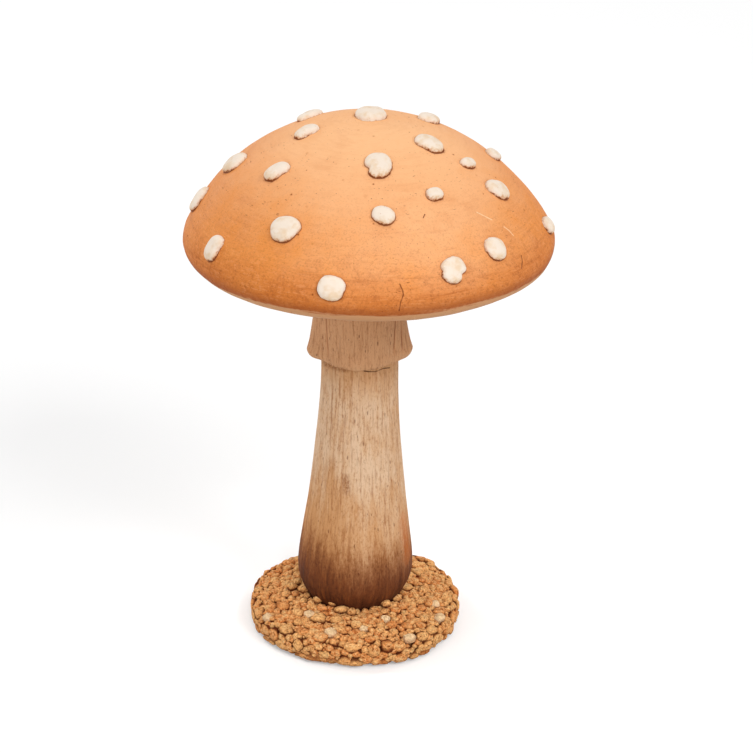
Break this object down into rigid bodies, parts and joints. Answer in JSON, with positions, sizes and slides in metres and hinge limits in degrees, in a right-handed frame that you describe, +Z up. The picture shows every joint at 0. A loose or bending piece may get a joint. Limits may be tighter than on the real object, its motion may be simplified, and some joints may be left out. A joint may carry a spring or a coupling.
{
  "type": "mushroom ornament",
  "caption": "Free-standing ceramic mushroom with a domed orange cap, pale raised spots, a wood-grained stem with a flared skirt, and a round base of grit.",
  "frame": {"origin": "middle of the felt pad's rest face", "axes": "+Z up through the base's middle; the stem leans and the cap is set a little towards +X; the picture looks along +Y"},
  "size_m": [0.1586, 0.1589, 0.2414],
  "materials": {
    "cap_ceramic": "matte orange-tan wash over a scratched body",
    "wart_ceramic": "matte cream slip",
    "underside_ceramic": "matte pale beige",
    "stem_ceramic": "matte, grained like wood, browner at the foot",
    "skirt_ceramic": "matte beige with brown wear",
    "mortar": "rough brown mortar",
    "grit_stone": "rough orange-tan crumbs",
    "pale_stone": "rough cream crumbs",
    "plate_wood": "plain board",
    "plug_wood": "plain turned wood",
    "felt": "dark felt",
    "steel": "plain zinc"
  },
  "bodies": {
    "root": {"felt_pad": "felt", "base_plate": "plate_wood", "base_screw": "steel", "base_washer": "steel", "foot_plug": "plug_wood", "stem": "stem_ceramic", "stem_skirt": "skirt_ceramic", "cap_underside": "underside_ceramic", "cap_shell": "cap_ceramic", "grit_bed": "mortar", "pale_chips": "pale_stone", "grit_inner": "grit_stone", "grit_outer": "grit_stone", "grit_rim": "grit_stone", "grit_side": "grit_stone", "wart_01": "wart_ceramic", "wart_02": "wart_ceramic", "wart_03": "wart_ceramic", "wart_04": "wart_ceramic", "wart_05": "wart_ceramic", "wart_06": "wart_ceramic", "wart_07": "wart_ceramic", "wart_08": "wart_ceramic", "wart_09": "wart_ceramic", "wart_10": "wart_ceramic", "wart_11": "wart_ceramic", "wart_12": "wart_ceramic", "wart_13": "wart_ceramic", "wart_14": "wart_ceramic", "wart_15": "wart_ceramic", "wart_16": "wart_ceramic", "wart_17": "wart_ceramic", "wart_18": "wart_ceramic", "wart_19": "wart_ceramic", "wart_20": "wart_ceramic", "wart_21": "wart_ceramic", "wart_22": "wart_ceramic", "wart_23": "wart_ceramic", "wart_24": "wart_ceramic", "wart_25": "wart_ceramic", "wart_26": "wart_ceramic", "wart_27": "wart_ceramic", "wart_28": "wart_ceramic", "wart_29": "wart_ceramic", "wart_30": "wart_ceramic", "wart_31": "wart_ceramic", "wart_32": "wart_ceramic"}
  },
  "joints": []
}
